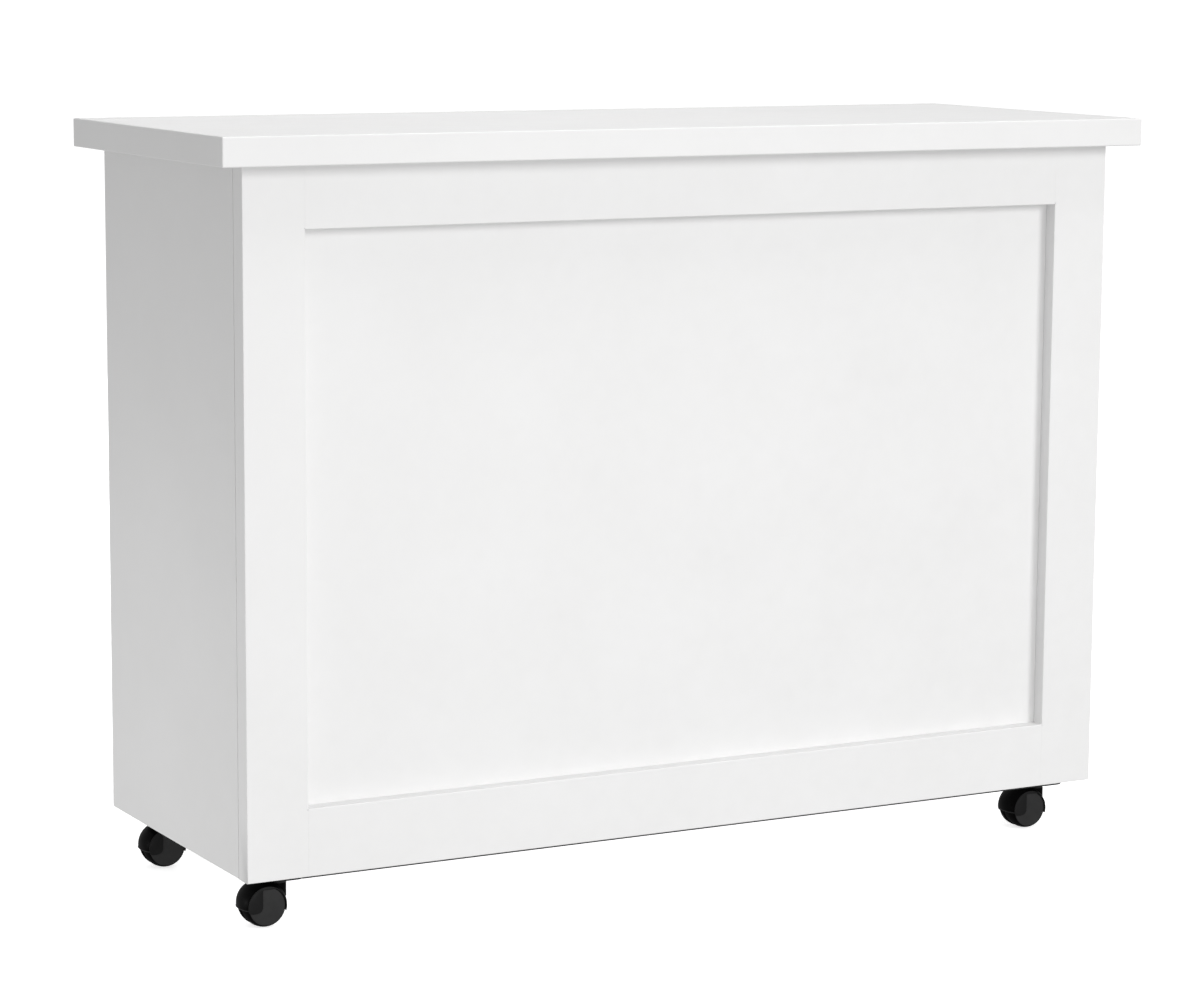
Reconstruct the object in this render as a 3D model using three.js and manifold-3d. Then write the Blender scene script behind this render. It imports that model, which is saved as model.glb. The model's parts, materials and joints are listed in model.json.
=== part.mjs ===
// Folding portable bar: a shaker-style front, two hinged side panels, two
// flip-down shelves, a lift-off top and four twin-wheel swivel casters.
// Millimetres, +Z up, front face towards -Y. The origin is on the floor, below
// the middle of the top.
import * as THREE from 'three';
import { mergeVertices } from 'three/addons/utils/BufferGeometryUtils.js';
import Module from 'manifold-3d';

const wasm = await Module();
wasm.setup();

// ---------------------------------------------------------------- dimensions
const GAP = 0.3;              // clearance between touching pieces

const TOP_W = 1452;           // bar top, left to right
const TOP_D = 547;            // bar top, front to back
const TOP_T = 40;             // bar top thickness
const BAR_H = 1067;           // floor to top surface

const BODY_W = 1372;          // outside of side panel to outside of side panel
const BODY_D = 500;           // front face to back edge of the sides
const OVERHANG_FRONT = 32;    // top beyond the front face
const CASTER_H = 72;          // floor to bottom edge of the body

const FRAME_T = 30;           // front frame thickness
const RECESS = 21;            // panel set back behind the frame's face
const STILE_W = 89;           // stile width
const TOP_RAIL_H = 84.5;      // top rail height below the top
const BOTTOM_RAIL_H = 93.5;   // bottom rail height
const REBATE = 12;            // rebate that holds the panel

const SIDE_T = 19;            // side panel thickness
const SIDE_SEAM = 1.2;        // open seam between front frame and side panel
const POST_W = 20;            // corner post, left to right
const POST_D = 45;            // corner post, front to back
const BATTEN_H = 38;          // base batten height

const KNUCKLE_R = 3;          // hinge knuckle radius
const KNUCKLE_OFF = 3.3;      // hinge axis to the faces it is screwed on
const PIN_R = 1.4;            // hinge pin radius
const PIN_HOLE_R = 1.75;      // hole in the knuckles
const LEAF_T = 1.5;           // hinge leaf thickness
const KNUCKLE_GAP = 0.5;      // play between neighbouring knuckles
const HINGE_SIDES = 8;        // facets of a knuckle

const SHELF_W = 1280;
const SHELF_D = 388;
const SHELF_T = 18;
const BASE_SHELF_TOP = 150.5; // top of the base shelf when it is down
const MID_SHELF_TOP = 590;    // top of the middle shelf when it is down
const CLEAT_W = 40;           // cleat, out from the side panel
const CLEAT_H = 20;
const CLEAT_FROM = 95;        // cleat start behind the side's hinge axis
const CLEAT_L = 240;

const DOWEL_R = 5;
const DOWEL_L = 38;
const DOWEL_IN_TOP = 18;

const CASTER_INSET_X = 64;    // swivel axis from the body's side
const CASTER_FRONT_Y = 48;    // front swivel axis behind the front face
const CASTER_REAR_Y = 411;    // rear swivel axis behind the front face
const PLATE_T = 4;
const PLATE_X = 48;
const PLATE_Y = 80;
const PLATE_R = 12;           // plate corner radius
const TRAIL = 24;             // wheel axle behind the swivel axis
const WHEEL_R = 30;
const WHEEL_T = 16.4;
const WHEEL_GAP = 9.2;        // between the two wheels of a caster
const WHEEL_SIDES = 20;
const HOOD_R = 32;
const HOOD_IN_R = 30.8;
const HOOD_W = 41.4;
const HOOD_TOP = 57;          // top of the hood's swivel boss
const RING_R = 11;            // lower swivel ring, sunk into the hood
const WEB_T = 8;
const AXLE_R = 3.8;
const KINGPIN_R = 2.6;
const BRACKET_T = 3;          // vertical flange of the rear bracket
const BRACKET_H = 110;        // top of that flange
const BRACKET_L = 64;

// ------------------------------------------------------------ derived places
const Z0 = CASTER_H;
const Z1 = BAR_H - TOP_T - GAP;
const X1 = BODY_W / 2;
const Y_FRONT = -TOP_D / 2 + OVERHANG_FRONT;
const Y_FRAME_BACK = Y_FRONT + FRAME_T;
const Y_BACK = Y_FRONT + BODY_D;
const X_IN = X1 - SIDE_T;                         // inner face of a side panel
const Y_POST_BACK = Y_FRAME_BACK + POST_D;
const HINGE_X = X_IN - KNUCKLE_OFF;               // side hinge axis
const HINGE_Y = Y_POST_BACK + KNUCKLE_OFF;
const SHELF_AXIS_Y = Y_FRAME_BACK + KNUCKLE_OFF;  // shelf hinge axis
const PANEL_FRONT = Y_FRONT + RECESS;

// ----------------------------------------------------------------- materials
const paint = new THREE.MeshStandardMaterial({ color: 0xf1f0ee, roughness: 0.42, metalness: 0 });
const steel = new THREE.MeshStandardMaterial({ color: 0xb9bbbd, roughness: 0.35, metalness: 1 });
const blackSteel = new THREE.MeshStandardMaterial({ color: 0x1b1b1c, roughness: 0.5, metalness: 0.6 });
const blackPlastic = new THREE.MeshStandardMaterial({ color: 0x141415, roughness: 0.45, metalness: 0 });
const beech = new THREE.MeshStandardMaterial({ color: 0xc9a877, roughness: 0.6, metalness: 0 });

// --------------------------------------------------------- geometry helpers
// One closed, merged mesh with its faces pointing out.
function clean(geometry) {
  let g = geometry.clone();
  for (const name of Object.keys(g.attributes)) if (name !== 'position') g.deleteAttribute(name);
  g.clearGroups();
  g = mergeVertices(g, 1e-3);
  const src = g.index.array;
  const p = g.attributes.position.array;
  const keep = [];
  let volume = 0;
  for (let i = 0; i < src.length; i += 3) {
    const [a, b, c] = [src[i], src[i + 1], src[i + 2]];
    if (a === b || b === c || c === a) continue;
    keep.push(a, b, c);
    const A = [p[3 * a], p[3 * a + 1], p[3 * a + 2]];
    const B = [p[3 * b], p[3 * b + 1], p[3 * b + 2]];
    const C = [p[3 * c], p[3 * c + 1], p[3 * c + 2]];
    volume += A[0] * (B[1] * C[2] - B[2] * C[1])
      - A[1] * (B[0] * C[2] - B[2] * C[0])
      + A[2] * (B[0] * C[1] - B[1] * C[0]);
  }
  if (volume < 0) for (let i = 0; i < keep.length; i += 3) [keep[i + 1], keep[i + 2]] = [keep[i + 2], keep[i + 1]];
  g.setIndex(keep);
  return g;
}

function solid(geometry) {
  const g = clean(geometry);
  return new wasm.Manifold(new wasm.Mesh({
    numProp: 3,
    vertProperties: new Float32Array(g.attributes.position.array),
    triVerts: new Uint32Array(g.index.array),
  }));
}

function geometryOf(manifold) {
  const m = manifold.getMesh();
  const g = new THREE.BufferGeometry();
  g.setAttribute('position', new THREE.BufferAttribute(new Float32Array(m.vertProperties), 3));
  g.setIndex(new THREE.BufferAttribute(new Uint32Array(m.triVerts), 1));
  return g;
}

function box(x0, x1, y0, y1, z0, z1) {
  const g = new THREE.BoxGeometry(x1 - x0, y1 - y0, z1 - z0);
  g.translate((x0 + x1) / 2, (y0 + y1) / 2, (z0 + z1) / 2);
  return g;
}

// A round bar along 'x', 'y' or 'z', from a to b, round the point (u, v) of
// the other two axes in x, y, z order.
function bar(axis, r, a, b, u = 0, v = 0, sides = 16) {
  const g = new THREE.CylinderGeometry(r, r, b - a, sides);
  const mid = (a + b) / 2;
  if (axis === 'x') { g.rotateZ(-Math.PI / 2); g.translate(mid, u, v); }
  if (axis === 'y') g.translate(u, mid, v);
  if (axis === 'z') { g.rotateX(Math.PI / 2); g.translate(u, v, mid); }
  return g;
}

function roundedPlate(w, d, r, z0, z1) {
  const s = new THREE.Shape();
  s.moveTo(-w / 2 + r, -d / 2);
  s.lineTo(w / 2 - r, -d / 2);
  s.absarc(w / 2 - r, -d / 2 + r, r, -Math.PI / 2, 0, false);
  s.lineTo(w / 2, d / 2 - r);
  s.absarc(w / 2 - r, d / 2 - r, r, 0, Math.PI / 2, false);
  s.lineTo(-w / 2 + r, d / 2);
  s.absarc(-w / 2 + r, d / 2 - r, r, Math.PI / 2, Math.PI, false);
  s.lineTo(-w / 2, -d / 2 + r);
  s.absarc(-w / 2 + r, -d / 2 + r, r, Math.PI, Math.PI * 1.5, false);
  const g = new THREE.ExtrudeGeometry(s, { depth: z1 - z0, bevelEnabled: false, curveSegments: 4 });
  g.translate(0, 0, z0);
  return g;
}

const bar_group = new THREE.Group();
function piece(name, geometry, material, parent = bar_group) {
  const mesh = new THREE.Mesh(clean(geometry), material);
  mesh.name = name;
  parent.add(mesh);
  return mesh;
}
const mirrorX = (x0, x1, s) => (s > 0 ? [x0, x1] : [-x1, -x0]);

// --------------------------------------------------------------- front frame
const PANEL_Z0 = Z0 + BOTTOM_RAIL_H - REBATE;
const PANEL_Z1 = Z1 - TOP_RAIL_H + REBATE;
for (const [side, s] of [['left', -1], ['right', 1]]) {
  // A stile is a full-height board, rebated behind its inner edge.
  const [x0, x1] = mirrorX(X1 - STILE_W, X1, s);
  const [r0, r1] = mirrorX(X1 - STILE_W - 1, X1 - STILE_W + REBATE, s);
  const board = solid(box(x0, x1, Y_FRONT, Y_FRAME_BACK, Z0, Z1));
  const rebate = solid(box(r0, r1, PANEL_FRONT, Y_FRAME_BACK + 1, PANEL_Z0, PANEL_Z1));
  piece(`${side}_stile`, geometryOf(board.subtract(rebate)), paint);
}
const RAIL_X = X1 - STILE_W - GAP;
piece('top_rail', geometryOf(
  solid(box(-RAIL_X, RAIL_X, Y_FRONT, Y_FRAME_BACK, Z1 - TOP_RAIL_H, Z1))
    .subtract(solid(box(-RAIL_X - 1, RAIL_X + 1, PANEL_FRONT, Y_FRAME_BACK + 1, Z1 - TOP_RAIL_H - 1, PANEL_Z1)))), paint);
piece('bottom_rail', geometryOf(
  solid(box(-RAIL_X, RAIL_X, Y_FRONT, Y_FRAME_BACK, Z0, Z0 + BOTTOM_RAIL_H))
    .subtract(solid(box(-RAIL_X - 1, RAIL_X + 1, PANEL_FRONT, Y_FRAME_BACK + 1, PANEL_Z0, Z0 + BOTTOM_RAIL_H + 1)))), paint);
const PANEL_X = X1 - STILE_W + REBATE - GAP;
piece('front_panel', box(-PANEL_X, PANEL_X, PANEL_FRONT + GAP, Y_FRAME_BACK - GAP, PANEL_Z0 + GAP, PANEL_Z1 - GAP), paint);

// ------------------------------------------- corner posts, base batten, dowels
const POST_X1 = X_IN - 0.5;
const POST_X0 = POST_X1 - POST_W;
const DOWEL_X = (POST_X0 + POST_X1) / 2;
const DOWEL_Y = Y_FRAME_BACK + POST_D / 2;
const DOWEL_Z1 = BAR_H - TOP_T + DOWEL_IN_TOP;
for (const [side, s] of [['left', -1], ['right', 1]]) {
  const [x0, x1] = mirrorX(POST_X0, POST_X1, s);
  const post = solid(box(x0, x1, Y_FRAME_BACK + GAP, Y_POST_BACK, Z0 + GAP, Z1));
  const socket = solid(bar('z', DOWEL_R + 0.35, DOWEL_Z1 - DOWEL_L - GAP, Z1 + 5, s * DOWEL_X, DOWEL_Y, 14));
  piece(`${side}_corner_post`, geometryOf(post.subtract(socket)), paint);
  piece(`${side}_locating_dowel`, bar('z', DOWEL_R, DOWEL_Z1 - DOWEL_L, DOWEL_Z1, s * DOWEL_X, DOWEL_Y, 14), beech);
}
const BATTEN_X = POST_X0 - GAP;
piece('base_batten', box(-BATTEN_X, BATTEN_X, Y_FRAME_BACK + GAP, Y_POST_BACK, Z0 + GAP, Z0 + BATTEN_H), paint);

// ------------------------------------------------------------------- bar top
{
  let slab = solid(box(-TOP_W / 2, TOP_W / 2, -TOP_D / 2, TOP_D / 2, BAR_H - TOP_T, BAR_H));
  for (const s of [-1, 1]) {
    slab = slab.subtract(solid(bar('z', DOWEL_R + 0.5, BAR_H - TOP_T - 5, DOWEL_Z1 + 2, s * DOWEL_X, DOWEL_Y, 14)));
  }
  piece('bar_top', geometryOf(slab), paint);
}

// ------------------------------------------------------------- hinge builder
// A continuous hinge along its own z axis, from 0 to length. Leaf A lies
// along +x at y = -KNUCKLE_OFF, leaf B along +y at x = -KNUCKLE_OFF, so the
// leaves stand at a right angle and close face to face. Odd knuckles belong
// to leaf A, even ones to leaf B.
function hinge(length, knuckles, leafA, leafB) {
  const pitch = length / knuckles;
  const inner = KNUCKLE_R + 0.6;
  const lo = -KNUCKLE_OFF + GAP;
  const hole = solid(bar('z', PIN_HOLE_R, -5, length + 5, 0, 0, HINGE_SIDES));
  const build = (strip, tab, first) => {
    let leaf = solid(strip);
    for (let i = first; i < knuckles; i += 2) {
      const a = i * pitch + KNUCKLE_GAP / 2;
      const b = (i + 1) * pitch - KNUCKLE_GAP / 2;
      leaf = leaf.add(solid(tab(a, b))).add(solid(bar('z', KNUCKLE_R, a, b, 0, 0, HINGE_SIDES)));
    }
    return geometryOf(leaf.subtract(hole));
  };
  const a = build(
    box(inner, inner + leafA, lo, lo + LEAF_T, 0, length),
    (z0, z1) => box(0, inner + 1, lo, lo + LEAF_T, z0, z1), 0);
  const b = build(
    box(lo, lo + LEAF_T, inner, inner + leafB, 0, length),
    (z0, z1) => box(lo, lo + LEAF_T, 0, inner + 1, z0, z1), 1);
  const pin = bar('z', PIN_R, 0, length, 0, 0, HINGE_SIDES);
  return { a, b, pin };
}

// --------------------------------------- side panels with cleats and brackets
const SIDE_HINGE_L = 930;
const SIDE_HINGE_Z = Z0 + (Z1 - Z0 - SIDE_HINGE_L) / 2;
for (const [side, s] of [['left', -1], ['right', 1]]) {
  const [x0, x1] = mirrorX(X_IN, X1, s);
  piece(`${side}_side_panel`, box(x0, x1, Y_FRAME_BACK + SIDE_SEAM, Y_BACK, Z0, Z1), paint);

  const h = hinge(SIDE_HINGE_L, 7, 12.5, 20);
  for (const [name, g] of [['post_leaf', h.a], ['side_leaf', h.b], ['pin', h.pin]]) {
    if (s > 0) g.scale(-1, 1, 1);
    g.translate(s * HINGE_X, HINGE_Y, SIDE_HINGE_Z);
    piece(`${side}_side_hinge_${name}`, g, steel);
  }

  const [c0, c1] = mirrorX(X_IN - GAP - CLEAT_W, X_IN - GAP, s);
  for (const [level, top] of [['lower', BASE_SHELF_TOP], ['middle', MID_SHELF_TOP]]) {
    const z1 = top - SHELF_T - GAP;
    piece(`${side}_${level}_cleat`, box(c0, c1, HINGE_Y + CLEAT_FROM, HINGE_Y + CLEAT_FROM + CLEAT_L, z1 - CLEAT_H, z1), paint);
  }
}

// ------------------------------------------------------------------- shelves
// Each shelf is drawn lying down, then turned up about its hinge so that it is
// stowed flat against the back of the front.
for (const [level, top] of [['base', BASE_SHELF_TOP], ['middle', MID_SHELF_TOP]]) {
  const length = 1200;
  const stowed = new THREE.Group();
  stowed.position.set(0, SHELF_AXIS_Y, top + KNUCKLE_OFF);
  stowed.rotation.x = Math.PI / 2;
  bar_group.add(stowed);
  const y0 = -KNUCKLE_OFF + 0.8;
  piece(`${level}_shelf`, box(-SHELF_W / 2, SHELF_W / 2, y0, y0 + SHELF_D, -KNUCKLE_OFF - SHELF_T, -KNUCKLE_OFF), paint, stowed);

  // Leaf A goes on the shelf, leaf B stands up the back of the front panel.
  const h = hinge(length, 7, 22, 22);
  const place = (g) => {
    // hinge x -> +Y, hinge y -> +Z, hinge z -> +X
    g.applyMatrix4(new THREE.Matrix4().set(
      0, 0, 1, -length / 2,
      1, 0, 0, 0,
      0, 1, 0, 0,
      0, 0, 0, 1));
    return g;
  };
  piece(`${level}_shelf_hinge_shelf_leaf`, place(h.a), steel, stowed);
  const still = new THREE.Group();
  still.position.copy(stowed.position);
  bar_group.add(still);
  piece(`${level}_shelf_hinge_panel_leaf`, place(h.b), steel, still);
  piece(`${level}_shelf_hinge_pin`, place(h.pin), steel, still);
}

// ------------------------------------------------------------------- casters
// Drawn about the swivel axis, floor at z = 0, wheels trailing towards -X.
function wheelGeometry() {
  // Turned about Y: closed outer disc at low y, blind bore from high y.
  const h = WHEEL_T / 2;
  const profile = [
    [0, -h], [25.5, -h], [27.6, -h + 0.9], [29.2, -h + 2.6], [WHEEL_R, -h + 5],
    [WHEEL_R, h - 2.5], [28.6, h - 0.6], [27, h], [AXLE_R + 0.4, h], [AXLE_R + 0.4, -h + 5.5], [0, -h + 5.5],
  ].map(([r, y]) => new THREE.Vector2(r, y));
  return new THREE.LatheGeometry(profile, WHEEL_SIDES);
}

function hoodGeometry() {
  const cx = -TRAIL;
  const cz = WHEEL_R;
  const w = HOOD_W / 2;
  // Half-round shell over both wheels, a web between them, a boss on top.
  const shell = solid(bar('y', HOOD_R, -w, w, cx, cz, 32));
  const lower = solid(box(cx - 50, cx + 50, -50, 50, -40, cz - 2));
  const web = solid(bar('y', HOOD_IN_R - 6, -WEB_T / 2, WEB_T / 2, cx, cz, 24))
    .add(solid(box(cx, 6.5, -WEB_T / 2, WEB_T / 2, cz, 52)));
  const boss = solid(bar('z', 11.5, cz + 8, HOOD_TOP, 0, 0, 20));
  const room = solid(bar('y', HOOD_IN_R, WEB_T / 2, 60, cx, cz, 32))
    .add(solid(bar('y', HOOD_IN_R, -60, -WEB_T / 2, cx, cz, 32)));
  const hub = solid(bar('y', 9, -WEB_T / 2, WEB_T / 2, cx, cz, 20));
  const cap = solid(box(cx - 60, cx + 60, -w - 1, w + 1, cz - 2, 80));
  let hood = shell.subtract(lower).add(boss).intersect(cap).add(web.intersect(cap)).subtract(room).add(hub);
  hood = hood.subtract(solid(bar('z', RING_R + 0.5, HOOD_TOP, 80, 0, 0, 20)));
  hood = hood.subtract(solid(bar('y', AXLE_R + 0.35, -30, 30, cx, cz, 14)));
  hood = hood.subtract(solid(bar('z', KINGPIN_R + 0.4, cz + 12, 80, 0, 0, 12)));
  return geometryOf(hood);
}

function stemGeometry(zTop) {
  // Stacked swivel rings under the plate and the kingpin below them.
  const profile = [
    [0, zTop], [14.5, zTop], [14.5, zTop - 2.6], [10.2, zTop - 3.2], [10.2, zTop - 4.4],
    [RING_R, zTop - 5], [RING_R, HOOD_TOP + GAP], [KINGPIN_R, HOOD_TOP + GAP], [KINGPIN_R, WHEEL_R + 14], [0, WHEEL_R + 14],
  ].map(([r, y]) => new THREE.Vector2(r, y));
  const g = new THREE.LatheGeometry(profile, 18);
  g.rotateX(Math.PI / 2);
  return g;
}

const PLATE_Z1 = Z0 - GAP;
const PLATE_Z0 = PLATE_Z1 - PLATE_T;
for (const [end, yc] of [['front', Y_FRONT + CASTER_FRONT_Y], ['rear', Y_FRONT + CASTER_REAR_Y]]) {
  for (const [side, s] of [['left', -1], ['right', 1]]) {
    const name = `${end}_${side}`;
    const at = new THREE.Group();
    at.position.set(s * (X1 - CASTER_INSET_X), yc, 0);
    bar_group.add(at);

    if (end === 'front') {
      piece(`${name}_caster_plate`, roundedPlate(PLATE_X, PLATE_Y, PLATE_R, PLATE_Z0, PLATE_Z1), blackSteel, at);
    } else {
      // Angle bracket: a leg under the side panel's bottom edge and a flange
      // up its inner face, so that the caster can swing under the front.
      const edge = CASTER_INSET_X - SIDE_T - GAP;     // side's inner face from the axis
      const section = new THREE.Shape([
        [edge + 11, PLATE_Z0], [edge + 11, PLATE_Z1], [edge, PLATE_Z1], [edge, BRACKET_H], [edge - BRACKET_T, BRACKET_H],
        [edge - BRACKET_T, PLATE_Z1], [-32, PLATE_Z1], [-32, PLATE_Z0],
      ].map(([x, z]) => new THREE.Vector2(s * x, z)));
      const g = new THREE.ExtrudeGeometry(section, { depth: BRACKET_L, bevelEnabled: false });
      g.rotateX(Math.PI / 2);
      g.translate(0, BRACKET_L / 2, 0);
      piece(`${name}_caster_bracket`, g, blackSteel, at);
    }
    piece(`${name}_caster_stem`, stemGeometry(PLATE_Z0 - GAP), blackPlastic, at);
    piece(`${name}_caster_hood`, hoodGeometry(), blackPlastic, at);
    piece(`${name}_caster_axle`, bar('y', AXLE_R, -WHEEL_GAP / 2 - 10.5, WHEEL_GAP / 2 + 10.5, -TRAIL, WHEEL_R, 14), steel, at);
    for (const [which, t] of [['front', -1], ['back', 1]]) {
      const g = wheelGeometry();
      if (t > 0) g.rotateX(Math.PI);
      g.translate(-TRAIL, t * (WHEEL_GAP + WHEEL_T) / 2, WHEEL_R);
      piece(`${name}_caster_wheel_${which}`, g, blackPlastic, at);
    }
  }
}

export default bar_group;
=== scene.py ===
import json
import math

import bmesh
import bpy
from mathutils import Matrix, Vector


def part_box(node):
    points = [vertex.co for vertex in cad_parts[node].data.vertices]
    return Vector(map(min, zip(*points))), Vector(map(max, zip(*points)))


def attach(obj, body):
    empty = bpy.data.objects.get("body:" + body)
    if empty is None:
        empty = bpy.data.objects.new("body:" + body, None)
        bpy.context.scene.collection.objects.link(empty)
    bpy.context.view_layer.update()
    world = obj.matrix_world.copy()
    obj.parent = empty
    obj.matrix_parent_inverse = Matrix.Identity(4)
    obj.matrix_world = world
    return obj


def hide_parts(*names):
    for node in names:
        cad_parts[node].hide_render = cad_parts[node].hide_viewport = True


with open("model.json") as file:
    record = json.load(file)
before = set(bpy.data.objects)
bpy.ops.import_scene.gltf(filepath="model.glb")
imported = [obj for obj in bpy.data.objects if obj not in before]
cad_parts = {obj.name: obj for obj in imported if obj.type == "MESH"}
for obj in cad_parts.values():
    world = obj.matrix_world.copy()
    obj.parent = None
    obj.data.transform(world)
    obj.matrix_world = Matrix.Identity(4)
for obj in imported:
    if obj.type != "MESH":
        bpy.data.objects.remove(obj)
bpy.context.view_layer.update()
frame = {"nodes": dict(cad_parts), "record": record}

MM = 0.001
scene = bpy.context.scene
nodes = frame["nodes"]
BODY = {n: b for b, ns in frame["record"]["behaviour"]["bodies"].items() for n in ns}


# ------------------------------------------------------------------ node tools
def fresh(name):
    mat = bpy.data.materials.new(name)
    mat.use_nodes = True
    tree = mat.node_tree
    tree.nodes.clear()
    out = tree.nodes.new("ShaderNodeOutputMaterial")
    bsdf = tree.nodes.new("ShaderNodeBsdfPrincipled")
    tree.links.new(bsdf.outputs["BSDF"], out.inputs["Surface"])
    coord = tree.nodes.new("ShaderNodeTexCoord")
    return mat, tree, bsdf, coord.outputs["Object"]


def noise(tree, vec, scale, detail=2.0, rough=0.5, stretch=None, distortion=0.0):
    if stretch:
        m = tree.nodes.new("ShaderNodeMapping")
        m.inputs["Scale"].default_value = stretch
        tree.links.new(vec, m.inputs["Vector"])
        vec = m.outputs["Vector"]
    n = tree.nodes.new("ShaderNodeTexNoise")
    n.inputs["Scale"].default_value = scale
    n.inputs["Detail"].default_value = detail
    n.inputs["Roughness"].default_value = rough
    n.inputs["Distortion"].default_value = distortion
    tree.links.new(vec, n.inputs["Vector"])
    return n.outputs["Fac"]


def span(tree, value, lo, hi, a=0.0, b=1.0):
    n = tree.nodes.new("ShaderNodeMapRange")
    n.inputs["From Min"].default_value = a
    n.inputs["From Max"].default_value = b
    n.inputs["To Min"].default_value = lo
    n.inputs["To Max"].default_value = hi
    tree.links.new(value, n.inputs["Value"])
    return n.outputs["Result"]


def ramp(tree, value, stops):
    n = tree.nodes.new("ShaderNodeValToRGB")
    e = n.color_ramp.elements
    while len(e) < len(stops):
        e.new(0.5)
    for el, (p, c) in zip(e, stops):
        el.position = p
        el.color = (*c, 1.0)
    tree.links.new(value, n.inputs["Fac"])
    return n.outputs["Color"]


def add(tree, a, b, wa=1.0, wb=1.0):
    def scaled(v, w):
        m = tree.nodes.new("ShaderNodeMath")
        m.operation = "MULTIPLY"
        m.inputs[1].default_value = w
        tree.links.new(v, m.inputs[0])
        return m.outputs[0]
    m = tree.nodes.new("ShaderNodeMath")
    m.operation = "ADD"
    tree.links.new(scaled(a, wa), m.inputs[0])
    tree.links.new(scaled(b, wb), m.inputs[1])
    return m.outputs[0]


def bump(tree, bsdf, height, distance, strength=1.0):
    n = tree.nodes.new("ShaderNodeBump")
    n.inputs["Strength"].default_value = strength
    n.inputs["Distance"].default_value = distance
    tree.links.new(height, n.inputs["Height"])
    tree.links.new(n.outputs["Normal"], bsdf.inputs["Normal"])


# ------------------------------------------------------------------- materials
def paint_material():
    # Sprayed satin lacquer on board: almost even white, a slow drift in tone
    # and gloss, and a shallow millimetre-scale orange peel.
    mat, t, b, vec = fresh("satin_white_paint")
    slow = noise(t, vec, 5.5, 3.0, 0.55)
    mid = noise(t, vec, 42.0, 3.0, 0.6)
    tone = add(t, slow, mid, 0.6, 0.4)
    t.links.new(ramp(t, tone, [(0.30, (0.750, 0.748, 0.746)), (0.50, (0.764, 0.7625, 0.761)), (0.70, (0.777, 0.776, 0.7755))]),
                b.inputs["Base Color"])
    t.links.new(span(t, mid, 0.40, 0.56, 0.3, 0.7), b.inputs["Roughness"])
    b.inputs["Specular IOR Level"].default_value = 0.35
    peel = noise(t, vec, 620.0, 2.0, 0.45)
    wave = noise(t, vec, 38.0, 2.0, 0.5)
    bump(t, b, add(t, peel, wave, 0.7, 0.3), 0.00010, 0.5)
    return mat


def steel_material():
    # Zinc-plated strip steel: fine rolling lines and cloudy plating.
    mat, t, b, vec = fresh("zinc_steel")
    cloud = noise(t, vec, 60.0, 4.0, 0.6)
    lines = noise(t, vec, 900.0, 2.0, 0.5, stretch=(1.0, 1.0, 0.06))
    t.links.new(ramp(t, cloud, [(0.32, (0.52, 0.53, 0.54)), (0.68, (0.66, 0.665, 0.67))]), b.inputs["Base Color"])
    b.inputs["Metallic"].default_value = 1.0
    t.links.new(span(t, add(t, cloud, lines, 0.5, 0.5), 0.24, 0.42, 0.3, 0.7), b.inputs["Roughness"])
    bump(t, b, lines, 0.00004, 0.4)
    return mat


def screw_material():
    mat, t, b, vec = fresh("screw_steel")
    cloud = noise(t, vec, 300.0, 3.0, 0.6)
    t.links.new(ramp(t, cloud, [(0.35, (0.58, 0.58, 0.575)), (0.65, (0.72, 0.72, 0.71))]), b.inputs["Base Color"])
    b.inputs["Metallic"].default_value = 1.0
    t.links.new(span(t, cloud, 0.22, 0.36, 0.3, 0.7), b.inputs["Roughness"])
    return mat


def powder_material():
    # Black powder-coated steel plate.
    mat, t, b, vec = fresh("black_powder_steel")
    cloud = noise(t, vec, 90.0, 3.0, 0.6)
    grit = noise(t, vec, 1400.0, 2.0, 0.5)
    t.links.new(ramp(t, cloud, [(0.3, (0.003, 0.003, 0.0032)), (0.7, (0.006, 0.006, 0.0062))]), b.inputs["Base Color"])
    t.links.new(span(t, add(t, cloud, grit, 0.4, 0.6), 0.42, 0.60, 0.3, 0.7), b.inputs["Roughness"])
    b.inputs["Specular IOR Level"].default_value = 0.25
    bump(t, b, grit, 0.00006, 0.5)
    return mat


def plastic_material(name, dark, light, rough, specular, grain):
    # Moulded nylon: a fine spark-eroded texture and slightly uneven gloss.
    mat, t, b, vec = fresh(name)
    cloud = noise(t, vec, 70.0, 3.0, 0.55)
    grit = noise(t, vec, 1800.0, 2.0, 0.5)
    t.links.new(ramp(t, cloud, [(0.3, dark), (0.7, light)]), b.inputs["Base Color"])
    t.links.new(span(t, add(t, cloud, grit, 0.5, 0.5), rough[0], rough[1], 0.3, 0.7), b.inputs["Roughness"])
    b.inputs["Specular IOR Level"].default_value = specular
    bump(t, b, grit, grain, 0.6)
    return mat


def beech_material():
    # Turned beech: long pale grain along Z with short darker flecks.
    mat, t, b, vec = fresh("beech")
    grain = noise(t, vec, 260.0, 4.0, 0.6, stretch=(1.0, 1.0, 0.05), distortion=0.6)
    fleck = noise(t, vec, 1500.0, 2.0, 0.6, stretch=(1.0, 1.0, 0.18))
    t.links.new(ramp(t, add(t, grain, fleck, 0.75, 0.25), [(0.34, (0.36, 0.21, 0.105)), (0.5, (0.53, 0.345, 0.19)), (0.66, (0.64, 0.45, 0.27))]),
                b.inputs["Base Color"])
    t.links.new(span(t, grain, 0.46, 0.62, 0.3, 0.7), b.inputs["Roughness"])
    bump(t, b, grain, 0.0001, 0.5)
    return mat


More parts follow.
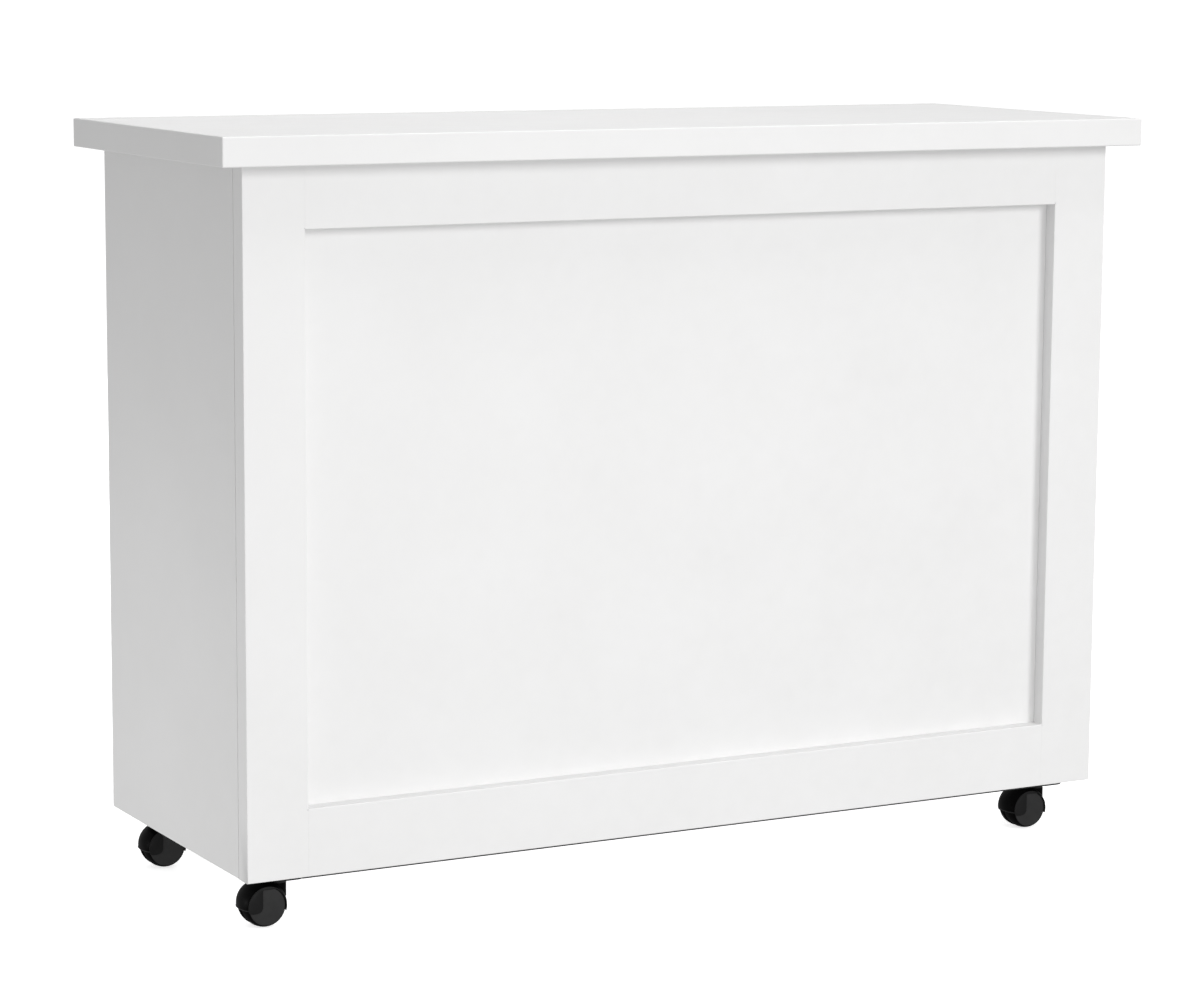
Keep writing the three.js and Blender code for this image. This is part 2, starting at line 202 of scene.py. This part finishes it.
PAINT = paint_material()
STEEL = steel_material()
SCREW = screw_material()
POWDER = powder_material()
HOOD = plastic_material("black_hood_nylon", (0.0010, 0.0010, 0.0011), (0.0020, 0.0020, 0.0021), (0.32, 0.46), 0.035, 0.00003)
# Cheek nylon: a tone between hood and disc, set as painted shade for the darker upper-left quarter of the wheel disc.
CHEEK_SHADE = plastic_material("black_cheek_nylon_painted_shade", (0.0055, 0.0055, 0.0057), (0.0078, 0.0078, 0.0080), (0.38, 0.52), 0.12, 0.00003)
DISC = plastic_material("black_wheel_nylon", (0.0145, 0.0145, 0.0147), (0.0195, 0.0195, 0.0198), (0.42, 0.56), 0.22, 0.00005)
TREAD = plastic_material("black_wheel_tread", (0.0008, 0.0008, 0.0009), (0.0018, 0.0018, 0.0019), (0.50, 0.68), 0.03, 0.00008)
# A dark plastic used only for the strip under the front: painted shade for the shadow line below the bottom edge.
SHADE_STRIP = plastic_material("black_shade_strip", (0.010, 0.010, 0.010), (0.016, 0.016, 0.016), (0.45, 0.60), 0.2, 0.00003)
BEECH = beech_material()


# ------------------------------------------------------------------ mesh tools
def finish_piece(name, bm, material, body, stands_for=(), sharp=32.0, extra=(), seat=None):
    """A new object from bm, in the row frame, that rides on a body."""
    bmesh.ops.recalc_face_normals(bm, faces=bm.faces)
    me = bpy.data.meshes.new(name)
    bm.to_mesh(me)
    bm.free()
    me.materials.append(material)
    for m in extra:
        me.materials.append(m)
    me.shade_smooth()
    me.set_sharp_from_angle(angle=math.radians(sharp))
    ob = bpy.data.objects.new(name, me)
    scene.collection.objects.link(ob)
    if seat is not None:
        me.transform(seat)
        if seat.determinant() < 0:
            me.flip_normals()
    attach(ob, body)
    if stands_for:
        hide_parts(*stands_for)
    return ob


def eased(node, radius, cuts=(), stretch=None, segments=4, name=None):
    """The board of a CAD node with its arrises eased. radius(mid, axis) gives
    each outside edge's radius in mm, 0 to leave it sharp."""
    bm = bmesh.new()
    bm.from_mesh(nodes[node].data)
    bmesh.ops.remove_doubles(bm, verts=bm.verts, dist=0.02 * MM)
    bmesh.ops.dissolve_limit(bm, angle_limit=math.radians(1.0), verts=bm.verts, edges=bm.edges)
    if stretch:
        for v in bm.verts:
            v.co = stretch(v.co)
    for co, no in cuts:
        bmesh.ops.bisect_plane(bm, geom=list(bm.verts) + list(bm.edges) + list(bm.faces), dist=1e-7, plane_co=co, plane_no=no)
    bmesh.ops.recalc_face_normals(bm, faces=bm.faces)
    layer = bm.edges.layers.float.new("bevel_weight_edge")
    widest = 3.0
    for e in bm.edges:
        if len(e.link_faces) != 2 or e.calc_face_angle(0.0) < math.radians(30) or not e.is_convex:
            continue
        d = (e.verts[1].co - e.verts[0].co).normalized()
        axis = max(range(3), key=lambda i: abs(d[i]))
        mid = (e.verts[0].co + e.verts[1].co) / 2 / MM
        e[layer] = radius(mid, axis) / widest
    for e in bm.edges:
        if len(e.link_faces) == 2 and e[layer] == 0.0 and e.calc_face_angle(0.0) > math.radians(30):
            e.smooth = False
    me = bpy.data.meshes.new(name or node + "_board")
    bm.to_mesh(me)
    bm.free()
    me.materials.append(PAINT)
    for f in me.polygons:
        f.use_smooth = True
    ob = bpy.data.objects.new(name or node + "_board", me)
    scene.collection.objects.link(ob)
    m = ob.modifiers.new("ease", "BEVEL")
    m.limit_method = "WEIGHT"
    m.offset_type = "OFFSET"
    m.width = widest * MM
    m.segments = segments
    m.profile = 0.5
    m.use_clamp_overlap = True
    w = ob.modifiers.new("flat_faces", "WEIGHTED_NORMAL")
    w.mode = "FACE_AREA"
    w.weight = 100
    w.keep_sharp = True
    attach(ob, BODY[node])
    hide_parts(node)
    return ob


def lathe(bm, profile, segments, at=(0, 0, 0), axis="z", material=None):
    """A closed turned body. profile is (radius, along) in mm, from axis to axis."""
    rings = []
    for r, h in profile:
        if r < 1e-6:
            rings.append([bm.verts.new((0, 0, h))])
        else:
            rings.append([bm.verts.new((r * math.cos(2 * math.pi * i / segments), r * math.sin(2 * math.pi * i / segments), h)) for i in range(segments)])
    made = []
    for k, (a, b) in enumerate(zip(rings, rings[1:])):
        for i in range(segments):
            j = (i + 1) % segments
            if len(a) == 1 and len(b) == 1:
                continue
            if len(a) == 1:
                f = bm.faces.new((a[0], b[i], b[j]))
            elif len(b) == 1:
                f = bm.faces.new((a[i], b[0], a[j]))
            else:
                f = bm.faces.new((a[i], b[i], b[j], a[j]))
            if material:
                f.material_index = material(k)
            made.append(f)
    for v in (v for ring in rings for v in ring):
        x, y, z = v.co
        if axis == "y":
            x, y, z = x, z, -y
        elif axis == "x":
            x, y, z = z, y, -x
        v.co = (Vector((x, y, z)) + Vector(at)) * MM
    return made


def prism(bm, outline, lo, hi, plane="xz", ease=0.0, steps=3):
    """A closed slab: an outline in mm in one plane, from lo to hi along the
    third axis, with its two rims rounded by ease."""
    n = len(outline)
    pts = [Vector((p[0], p[1])) for p in outline]
    area = sum(pts[i].x * pts[(i + 1) % n].y - pts[(i + 1) % n].x * pts[i].y for i in range(n))
    if area < 0:
        pts.reverse()

    def inset(d):
        if d < 1e-9:
            return pts
        out = []
        for i in range(n):
            a, b, c = pts[i - 1], pts[i], pts[(i + 1) % n]
            e0, e1 = (b - a).normalized(), (c - b).normalized()
            n0, n1 = Vector((-e0.y, e0.x)), Vector((-e1.y, e1.x))
            k = n0 + n1
            s = max(0.35, k.dot(n0))
            out.append(b + k * (d / s))
        return out

    stations = []
    if ease > 0:
        for i in range(steps + 1):
            t = math.pi / 2 * i / steps
            stations.append((ease * (1 - math.sin(t)), lo + ease * (1 - math.cos(t))))
        for i in range(steps, -1, -1):
            t = math.pi / 2 * i / steps
            stations.append((ease * (1 - math.sin(t)), hi - ease * (1 - math.cos(t))))
    else:
        stations = [(0.0, lo), (0.0, hi)]
    rings = []
    for d, h in stations:
        ring = []
        for p in inset(d):
            co = {"xz": (p.x, h, p.y), "xy": (p.x, p.y, h), "yz": (h, p.x, p.y)}[plane]
            ring.append(bm.verts.new(Vector(co) * MM))
        rings.append(ring)
    for a, b in zip(rings, rings[1:]):
        for i in range(n):
            j = (i + 1) % n
            bm.faces.new((a[i], a[j], b[j], b[i]))
    bm.faces.new(rings[0])
    bm.faces.new(rings[-1])


def arc(cx, cz, r, a0, a1, count):
    return [(cx + r * math.cos(math.radians(a0 + (a1 - a0) * i / count)), cz + r * math.sin(math.radians(a0 + (a1 - a0) * i / count)))
            for i in range(count + 1)]


def rounded_rect(w, d, r, count=8):
    out = []
    for cx, cy, a in ((w / 2 - r, -d / 2 + r, -90), (w / 2 - r, d / 2 - r, 0), (-w / 2 + r, d / 2 - r, 90), (-w / 2 + r, -d / 2 + r, 180)):
        out += arc(cx, cy, r, a, a + 90, count)
    return out


def screw_heads(bm, places, head=3.6, proud=0.35):
    """Cross-recessed screw heads. places are (point in mm, outward normal, turn in degrees)."""
    seg = 24
    for point, normal, turn in places:
        up = Vector(normal).normalized()
        side = up.orthogonal().normalized()
        other = up.cross(side)
        c, s = math.cos(math.radians(turn)), math.sin(math.radians(turn))
        u, w = side * c + other * s, other * c - side * s
        base = Vector(point)

        def put(x, y, h):
            return bm.verts.new((base + u * x + w * y + up * h) * MM)

        def ring(r, h):
            return [put(r * math.cos(2 * math.pi * i / seg), r * math.sin(2 * math.pi * i / seg), h) for i in range(seg)]
        rims = [ring(head, -0.6), ring(head, proud * 0.35), ring(head * 0.90, proud * 0.85), ring(head * 0.66, proud)]
        for a, b in zip(rims, rims[1:]):
            for i in range(seg):
                j = (i + 1) % seg
                bm.faces.new((a[i], a[j], b[j], b[i]))
        bm.faces.new(list(reversed(rims[0])))
        # the cross: twelve corners, an arm every six rim points
        arm, half = head * 0.46, head * 0.13
        cross = []
        for q in range(4):
            qa = math.pi / 2 * q
            for x, y in ((arm, -half), (arm, half), (half, half)):
                cross.append((x * math.cos(qa) - y * math.sin(qa), x * math.sin(qa) + y * math.cos(qa)))
        top = [put(x, y, proud) for x, y in cross]
        low = [put(x * 0.72, y * 0.72, proud - 1.0) for x, y in cross]
        outer = rims[-1]
        # rim point i belongs to the cross corner nearest in angle
        owner = []
        for i in range(seg):
            a = 2 * math.pi * i / seg
            owner.append(max(range(12), key=lambda k: math.cos(a - math.atan2(cross[k][1], cross[k][0]))))
        for i in range(seg):
            j = (i + 1) % seg
            k, m = owner[i], owner[j]
            if k == m:
                bm.faces.new((outer[i], outer[j], top[k]))
            else:
                span_ = [k]
                while span_[-1] != m:
                    span_.append((span_[-1] + 1) % 12)
                bm.faces.new([outer[i], outer[j]] + [top[x] for x in reversed(span_)])
        for i in range(12):
            j = (i + 1) % 12
            bm.faces.new((top[i], low[i], low[j], top[j]))
        bm.faces.new(low)


# ---------------------------------------------------------------------- boards
R_OUT, R_IN = 1.3, 1.4
X1, YF, YB = 686.0, -241.5, -211.5
Z0, Z1 = 72.0, 1026.7
OPEN_X, OPEN_Z0, OPEN_Z1 = 597.0, 165.5, 942.2
near = lambda a, b, tol=0.6: abs(a - b) < tol

for side, s in (("left", -1), ("right", 1)):
    def stile_radius(mid, axis, s=s):
        if axis == 2:
            if near(mid.x, s * X1):
                return R_OUT if near(mid.y, YF) else 0.8
            if near(mid.x, s * OPEN_X) and near(mid.y, YF):
                return R_IN if OPEN_Z0 < mid.z < OPEN_Z1 else 0.0
            return 0.0
        if near(mid.z, Z0) and near(mid.y, YF):
            return 1.2
        return 0.0

    eased(f"{side}_stile", stile_radius,
          cuts=[((0, 0, z * MM), (0, 0, 1)) for z in (OPEN_Z0 - 3, OPEN_Z0, OPEN_Z1, OPEN_Z1 + 3)] + [((s * (OPEN_X + 4) * MM, 0, 0), (1, 0, 0))])

    def panel_radius(mid, axis, s=s):
        if axis == 2:
            return R_OUT if mid.y > 200 else (0.8 if near(mid.x, s * X1) else 0.5)
        if near(mid.z, Z0):
            return 1.2
        return 0.4

    eased(f"{side}_side_panel", panel_radius)
    eased(f"{side}_corner_post", lambda mid, axis: 0.0 if axis != 2 or abs(mid.y + 189) < 10 else 1.0)
    for level in ("lower", "middle"):
        eased(f"{side}_{level}_cleat", lambda mid, axis, s=s: 0.0 if near(abs(mid.x), 666.7) else 1.6)


def close_joint(co):
    # Rail ends come up to the stiles under the paint, so that only a hairline shows.
    if abs(co.x) > 0.596:
        co.x += math.copysign(0.22 * MM, co.x)
    return co


eased("top_rail", lambda mid, axis: R_IN if axis == 0 and near(mid.y, YF) and near(mid.z, OPEN_Z1) else 0.0, stretch=close_joint)
eased("bottom_rail", lambda mid, axis: (R_IN if near(mid.z, OPEN_Z0) else 1.2 if near(mid.z, Z0) else 0.0) if axis == 0 and near(mid.y, YF) else 0.0,
      stretch=close_joint)
eased("bar_top", lambda mid, axis: 0.0 if (abs(mid.x) < 670 and abs(mid.x) > 640 and abs(mid.y + 189) < 8) else 2.0, segments=5)
eased("base_batten", lambda mid, axis: 1.0 if axis == 0 else 0.0)
for level in ("base", "middle"):
    eased(f"{level}_shelf", lambda mid, axis: 1.6)
nodes["front_panel"].data.materials.clear()
nodes["front_panel"].data.materials.append(PAINT)

# ---------------------------------------------------------------------- dowels
for side, s in (("left", -1), ("right", 1)):
    lo, hi = (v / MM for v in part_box(f"{side}_locating_dowel"))
    bm = bmesh.new()
    prof = [(0, lo.z), (3.8, lo.z), (4.6, lo.z + 0.5), (5, lo.z + 1.3)]
    prof += [(5, hi.z - 3.2), (4.7, hi.z - 2.0), (4.0, hi.z - 0.8), (3.0, hi.z - 0.15), (2.2, hi.z), (0, hi.z)]
    lathe(bm, prof, 40, at=((lo.x + hi.x) / 2, (lo.y + hi.y) / 2, 0))
    finish_piece(f"{side}_dowel_turned", bm, BEECH, BODY[f"{side}_locating_dowel"], [f"{side}_locating_dowel"], sharp=50)

# ---------------------------------------------------------------------- hinges
KR, KO, LT, HOLE_R, PIN_R = 3.0, 3.3, 1.5, 1.75, 1.4
LO, INNER = -3.0, 3.6


def hinge_leaf(bm, length, count, width, first, leaf):
    """One leaf in hinge axes: leaf A along +x, leaf B along +y, z along the pin."""
    def flat(x0, x1, z0, z1, ease):
        pts = [(x0, LO), (x1, LO), (x1, LO + LT), (x0, LO + LT)]
        if leaf == "b":
            pts = [(b, a) for a, b in pts]
        prism(bm, pts, z0, z1, plane="xy", ease=ease, steps=2)
    flat(INNER, INNER + width, 0.0, length, 0.3)
    pitch = length / count
    for i in range(first, count, 2):
        a, b = i * pitch + 0.25, (i + 1) * pitch - 0.25
        flat(1.0, INNER + 0.8, a, b, 0.0)
        lathe(bm, [(HOLE_R, a), (KR - 0.25, a), (KR, a + 0.25), (KR, b - 0.25), (KR - 0.25, b), (HOLE_R, b), (HOLE_R, a)], 24)
    bmesh.ops.remove_doubles(bm, verts=bm.verts, dist=1e-7)


def hinge_pin(bm, length):
    lathe(bm, [(0, 0), (PIN_R - 0.3, 0), (PIN_R, 0.3), (PIN_R, length - 0.3), (PIN_R - 0.3, length), (0, length)], 20)


def spread(length, count, margin):
    return [margin + (length - 2 * margin) * i / (count - 1) for i in range(count)]


for side, s in (("left", -1), ("right", 1)):
    seat = Matrix.Translation(Vector((s * 663.7, -163.2, 84.35)) * MM) @ Matrix.Diagonal((-s, 1, 1, 1))
    stem = f"{side}_side_hinge"
    for leaf, part, width in (("a", "post_leaf", 12.5), ("b", "side_leaf", 20.0)):
        bm = bmesh.new()
        hinge_leaf(bm, 930.0, 31, width, 0 if leaf == "a" else 1, leaf)
        finish_piece(f"{stem}_{part}_formed", bm, STEEL, BODY[f"{stem}_{part}"], [f"{stem}_{part}"], seat=seat)
        bm = bmesh.new()
        mid = INNER + width / 2 + 0.6
        spots = []
        for k, z in enumerate(spread(930.0, 9, 32.0)):
            spots.append(((mid, LO + LT, z), (0, 1, 0), 37 * k) if leaf == "a" else ((LO + LT, mid, z), (1, 0, 0), 23 + 41 * k))
        screw_heads(bm, spots, head=3.0, proud=0.3)
        finish_piece(f"{stem}_{part}_screws", bm, SCREW, BODY[f"{stem}_{part}"], seat=seat)
    bm = bmesh.new()
    hinge_pin(bm, 930.0)
    finish_piece(f"{stem}_pin_turned", bm, STEEL, BODY[f"{stem}_pin"], [f"{stem}_pin"], seat=seat)

for level, top in (("base", 150.5), ("middle", 590.0)):
    # hinge x -> +Y, hinge y -> +Z, hinge z -> +X; leaf A turns up with the shelf
    lay = Matrix(((0, 0, 1, -0.6), (1, 0, 0, 0), (0, 1, 0, 0), (0, 0, 0, 1)))
    still = Matrix.Translation(Vector((0, -208.2, top + KO)) * MM)
    stowed = still @ Matrix.Rotation(math.pi / 2, 4, "X")
    stem = f"{level}_shelf_hinge"
    for leaf, part, seat in (("a", "shelf_leaf", stowed @ lay), ("b", "panel_leaf", still @ lay)):
        bm = bmesh.new()
        hinge_leaf(bm, 1200.0, 41, 22.0, 0 if leaf == "a" else 1, leaf)
        finish_piece(f"{stem}_{part}_formed", bm, STEEL, BODY[f"{stem}_{part}"], [f"{stem}_{part}"], seat=seat)
        bm = bmesh.new()
        mid = INNER + 12.0
        spots = []
        for k, z in enumerate(spread(1200.0, 11, 40.0)):
            spots.append(((mid, LO + LT, z), (0, 1, 0), 29 * k) if leaf == "a" else ((LO + LT, mid, z), (1, 0, 0), 11 + 47 * k))
        screw_heads(bm, spots, head=3.0, proud=0.3)
        finish_piece(f"{stem}_{part}_screws", bm, SCREW, BODY[f"{stem}_{part}"], seat=seat)
    bm = bmesh.new()
    hinge_pin(bm, 1200.0)
    finish_piece(f"{stem}_pin_turned", bm, STEEL, BODY[f"{stem}_pin"], [f"{stem}_pin"], seat=still @ lay)

# Cleats are screwed on from below, the batten through from behind.
for side, s in (("left", -1), ("right", 1)):
    for level in ("lower", "middle"):
        lo, hi = (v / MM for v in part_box(f"{side}_{level}_cleat"))
        bm = bmesh.new()
        face = lo.x if s > 0 else hi.x
        screw_heads(bm, [((face, lo.y + d, (lo.z + hi.z) / 2), (-s, 0, 0), 20 + 31 * k) for k, d in enumerate((36, 120, 204))], head=3.6, proud=0.3)
        finish_piece(f"{side}_{level}_cleat_screws", bm, SCREW, BODY[f"{side}_{level}_cleat"])
bm = bmesh.new()
lo, hi = (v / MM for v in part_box("base_batten"))
screw_heads(bm, [((x, hi.y, 92.0), (0, 1, 0), 17 * k) for k, x in enumerate((-560, -280, 0, 280, 560))], head=3.6, proud=0.3)
finish_piece("base_batten_screws", bm, SCREW, "front_frame")

# Thin black strip under the front's bottom edge, between the casters: painted shade, a dark sheet standing in for the
# shadow line under the front.
bm = bmesh.new()
strip = [(-241.2, 70.7), (-240.7, 70.35), (-238.0, 70.35), (-237.5, 70.7), (-237.5, 71.9), (-241.2, 71.9)]
prism(bm, strip, -606.0, 606.0, plane="yz", ease=0.2, steps=2)
finish_piece("bottom_shade_strip", bm, SHADE_STRIP, "front_frame")

# --------------------------------------------------------------------- casters
TRAIL, WR, HOOD_R, HOOD_IN = 24.0, 30.0, 32.0, 30.8
PLATE_Z0, PLATE_Z1 = 67.7, 71.7


def wheel(bm, sign):
    """Wheel round its own centre: closed matte disc on the outside, crowned tread."""
    h = 8.2
    prof = [(0, -h), (24.6, -h), (25.5, -h + 0.1), (25.9, -h + 0.4), (26.1, -h + 0.9), (26.6, -h + 1.2), (27.3, -h + 2.2), (28.0, -h + 3.6),
            (28.7, -h + 5.6), (29.3, -h + 8.0), (29.75, -h + 11.0), (30.0, -h + 14.0), (29.8, h - 1.2), (29.2, h - 0.4), (28.3, h), (20.0, h),
            (19.4, h - 0.8), (9.0, h - 0.8), (8.4, h), (4.3, h), (4.3, -h + 5.5), (0, -h + 5.5)]
    if sign > 0:
        prof = [(r, -y) for r, y in prof]
    lathe(bm, prof, 96, axis="y", material=lambda k: 1 if 4 <= k <= 13 else 0)


def hood(bm):
    """Hood round the wheel centre: u is x, w is z, measured from the axle."""
    # half-round shell with rounded rims
    seg, a0, a1 = 72, -16.0, 187.0
    bow = [(-21.4, 27.9), (-21.1, 28.3), (-20.4, 28.9), (-17.0, 30.3), (-12.0, 31.6), (-6.0, 32.5)]
    bow += [(0.0, 32.8)] + [(-y, r) for y, r in reversed(bow)]
    sect = [(r, y) for y, r in bow] + [(r - 1.3, y) for y, r in reversed(bow)]
    # The last rings build a small lip on the lower rim, raised 0.55 mm and given the lighter disc nylon (material 2):
    # a painted highlight line along that edge.
    turns = [a0 + (a1 - a0 - 2.4) * i / seg for i in range(seg + 1)] + [a1 - 1.9, a1 - 0.4, a1]
    lips = [0.0] * (seg + 1) + [0.55, 0.55, 0.2]
    rings = []
    for turn, lip in zip(turns, lips):
        a = math.radians(turn)
        rings.append([bm.verts.new(Vector(((r + lip * (k < len(bow))) * math.cos(a), y, (r + lip * (k < len(bow))) * math.sin(a))) * MM)
                      for k, (r, y) in enumerate(sect)])
    for n, (a, b) in enumerate(zip(rings, rings[1:])):
        for i in range(len(sect)):
            j = (i + 1) % len(sect)
            bm.faces.new((a[i], a[j], b[j], b[i])).material_index = 2 if n >= seg else 0
    bm.faces.new(rings[0])
    bm.faces.new(rings[-1])
    # cheeks: a rim ring, a straight brow over the disc and a quarter shield, in the cheek nylon; the quarter shield is
    # a dark sheet giving painted shade on the disc's upper left
    outer = arc(0, 0, 28.1, -15.0, 187.0, 60)
    inner = [(-26.2, -7.0), (-22.5, -8.2), (-17.0, -8.2), (-11.6, -7.2), (-8.5, -5.0), (-7.1, -1.6), (-6.7, 2.4), (-6.7, 22.0), (-6.0, 23.2), (-4.8, 23.7),
             (11.4, 23.7)] + arc(0, 0, 26.6, 62, -15.4, 24)
    built = len(bm.faces)
    for sgn in (-1, 1):
        lo, hi = sorted((sgn * 21.3, sgn * 22.6))
        prism(bm, outer + inner, lo, hi, plane="xz", ease=0.35, steps=3)
    bm.faces.ensure_lookup_table()
    for face in bm.faces[built:]:
        face.material_index = 1
    # web between the wheels and the neck to the swivel boss
    web = arc(0, 0, 25.1, -4.5, 184.5, 40)
    prism(bm, web, -4.0, 4.0, plane="xz", ease=0.5, steps=2)
    prism(bm, [(1.0, 0.0), (30.5, 0.0), (30.5, 20.0), (28.0, 22.0), (1.0, 22.0)], -4.0, 4.0, plane="xz", ease=0.5, steps=2)
    lathe(bm, [(0, -4.3), (9.0, -4.3), (9.0, 4.3), (0, 4.3)], 40, axis="y")
    # swivel boss, hollowed where the wheels turn
    rings = []
    for a in range(-90, 91, 6):
        y = 11.4 * math.sin(math.radians(a))
        c = math.sqrt(11.5 ** 2 - y * y)
        x0, x1 = max(TRAIL - c, 14.9), TRAIL + c
        xs = [x0 + (x1 - x0) * i / 12 for i in range(13)]
        ring = [(x, max(8.5, math.sqrt(max(HOOD_IN ** 2 - x * x, 0.0)))) for x in xs] + [(x, 27.0) for x in reversed(xs)]
        rings.append([bm.verts.new(Vector((x, y, z)) * MM) for x, z in ring])
    for a, b in zip(rings, rings[1:]):
        for i in range(len(a)):
            j = (i + 1) % len(a)
            bm.faces.new((a[i], a[j], b[j], b[i]))
    bm.faces.new(rings[0])
    bm.faces.new(rings[-1])


def stem(bm):
    """Two stacked swivel rings under the plate, with the kingpin below."""
    t = 67.4
    prof = [(0, t), (14.0, t), (14.5, t - 0.4), (14.5, t - 2.2), (14.1, t - 2.6), (10.6, t - 3.0), (10.2, t - 3.4), (10.2, t - 4.2), (10.6, t - 4.7),
            (11.0, t - 5.1), (11.0, t - 9.4), (10.6, 57.3), (2.6, 57.3), (2.6, 44.0), (0, 44.0)]
    lathe(bm, prof, 56)


for end, yc in (("front", -193.5), ("rear", 169.5)):
    for side, s in (("left", -1), ("right", 1)):
        c = f"{end}_{side}_caster"
        at = Vector((s * 622.0, yc, 0.0)) * MM
        here = Matrix.Translation(at)
        axle = Matrix.Translation(at + Vector((-TRAIL, 0, WR)) * MM)
        bm = bmesh.new()
        hood(bm)
        finish_piece(f"{c}_hood_moulded", bm, HOOD, BODY[f"{c}_hood"], [f"{c}_hood"], extra=(CHEEK_SHADE, DISC), seat=axle)
        bm = bmesh.new()
        stem(bm)
        finish_piece(f"{c}_stem_turned", bm, DISC, BODY[f"{c}_stem"], [f"{c}_stem"], seat=here)
        for which, sign in (("front", -1), ("back", 1)):
            bm = bmesh.new()
            wheel(bm, sign)
            n = f"{c}_wheel_{which}"
            finish_piece(f"{n}_moulded", bm, DISC, BODY[n], [n], extra=(TREAD,), sharp=40,
                         seat=axle @ Matrix.Translation((0, sign * 12.8 * MM, 0)))
        nodes[f"{c}_axle"].data.materials.clear()
        nodes[f"{c}_axle"].data.materials.append(STEEL)
        if end == "front":
            bm = bmesh.new()
            prism(bm, rounded_rect(48, 80, 12, 10), PLATE_Z0, PLATE_Z1, plane="xy", ease=0.7, steps=3)
            finish_piece(f"{c}_plate_pressed", bm, POWDER, BODY[f"{c}_plate"], [f"{c}_plate"], seat=here)
            bm = bmesh.new()
            screw_heads(bm, [((x, y, PLATE_Z0), (0, 0, -1), 25 + 13 * x + 7 * y) for x in (-16, 16) for y in (-31, 31)], head=4.2, proud=0.5)
            finish_piece(f"{c}_plate_screws", bm, SCREW, BODY[f"{c}_plate"], seat=here)
        else:
            edge = 64.0 - 19.0 - 0.3
            sect = [(edge + 11, PLATE_Z0), (edge + 11, PLATE_Z1), (edge, PLATE_Z1), (edge, 110.0), (edge - 3, 110.0)]
            sect += [(edge - 3, PLATE_Z1 + 2.5), (edge - 3.7, PLATE_Z1 + 0.7), (edge - 5.5, PLATE_Z1), (-32, PLATE_Z1), (-32, PLATE_Z0)]
            bm = bmesh.new()
            prism(bm, [(s * x, z) for x, z in sect], -32.0, 32.0, plane="xz", ease=0.6, steps=3)
            finish_piece(f"{c}_bracket_pressed", bm, POWDER, BODY[f"{c}_bracket"], [f"{c}_bracket"], seat=here)
            bm = bmesh.new()
            spots = [((s * (edge - 3), y, z), (-s, 0, 0), 19 * k) for k, (y, z) in enumerate(((-20, 84), (20, 84), (-20, 101), (20, 101)))]
            screw_heads(bm, spots, head=4.0, proud=0.5)
            finish_piece(f"{c}_bracket_screws", bm, SCREW, BODY[f"{c}_bracket"], seat=here)

# ----------------------------------------------------------------------- stage
floor_mesh = bpy.data.meshes.new("studio_floor")
bm = bmesh.new()
bmesh.ops.create_circle(bm, cap_ends=True, cap_tris=True, segments=96, radius=150.0)
bm.to_mesh(floor_mesh)
bm.free()
floor = bpy.data.objects.new("studio_floor", floor_mesh)
scene.collection.objects.link(floor)
floor.location.z = -0.0004
fm, ft, fb, fvec = fresh("studio_floor")
ft.links.new(ramp(ft, noise(ft, fvec, 1.4, 2.0, 0.5), [(0.3, (0.80, 0.80, 0.80)), (0.7, (0.815, 0.815, 0.815))]), fb.inputs["Base Color"])
fb.inputs["Roughness"].default_value = 0.9
fb.inputs["Specular IOR Level"].default_value = 0.1
fb.inputs["Emission Color"].default_value = (1, 1, 1, 1)
fb.inputs["Emission Strength"].default_value = 0.72
floor_mesh.materials.append(fm)

# Far white wall round the floor, so that low views end in white too.
wall_mesh = bpy.data.meshes.new("studio_wall")
bm = bmesh.new()
wall = [[bm.verts.new((70.0 * math.cos(math.tau * i / 96), 70.0 * math.sin(math.tau * i / 96), z)) for i in range(96)] for z in (-0.5, 45.0)]
for i in range(96):
    j = (i + 1) % 96
    bm.faces.new((wall[0][j], wall[0][i], wall[1][i], wall[1][j]))
bm.to_mesh(wall_mesh)
bm.free()
wall = bpy.data.objects.new("studio_wall", wall_mesh)
scene.collection.objects.link(wall)
wall_mesh.materials.append(fm)
wall.visible_diffuse = wall.visible_glossy = wall.visible_transmission = wall.visible_shadow = False
floor.visible_diffuse = False
floor.visible_glossy = False

world = bpy.data.worlds.new("studio_white")
scene.world = world
world.use_nodes = True
background = world.node_tree.nodes["Background"]
background.inputs["Color"].default_value = (1.0, 1.0, 1.0, 1.0)
background.inputs["Strength"].default_value = 0.502


def softbox(name, location, target, width, height, power):
    data = bpy.data.lights.new(name, "AREA")
    data.shape = "RECTANGLE"
    data.size, data.size_y = width, height
    data.energy = power
    ob = bpy.data.objects.new(name, data)
    scene.collection.objects.link(ob)
    ob.location = location
    ob.rotation_euler = (Vector(target) - Vector(location)).to_track_quat("-Z", "Y").to_euler()
    ob.visible_camera = False
    return ob


softbox("key_front_right", (5.4, -10.3, 4.8), (0.0, -0.1, 0.6), 4.2, 4.2, 640.0)
softbox("overhead", (0.0, -0.56, 4.4), (0.0, -0.05, 1.0), 2.2, 2.0, 60.0)
softbox("fill_front", (-0.3, -3.3, 0.22), (0.0, -0.24, 0.25), 2.6, 0.3, 27.0)
softbox("fill_left", (-1.75, 0.1, 0.14), (-0.7, 0.05, 0.10), 1.2, 0.2, 4.4)
softbox("fill_back", (1.4, 5.2, 2.3), (0.0, 0.2, 0.5), 3.0, 2.4, 105.0).visible_glossy = False

# ---------------------------------------------------------------------- camera
cam_data = bpy.data.cameras.new("photo_camera")
cam_data.sensor_width = 36.0
cam_data.sensor_fit = "HORIZONTAL"
cam_data.lens = 108.934
cam_data.clip_start, cam_data.clip_end = 0.05, 500.0
camera = bpy.data.objects.new("photo_camera", cam_data)
scene.collection.objects.link(camera)
camera.location = (-2.51302, -4.60266, 1.31048)
camera.rotation_euler = (math.radians(81.27257), math.radians(-0.37285), math.radians(-28.33168))
scene.camera = camera

scene.view_settings.view_transform = "Standard"
scene.view_settings.look = "None"
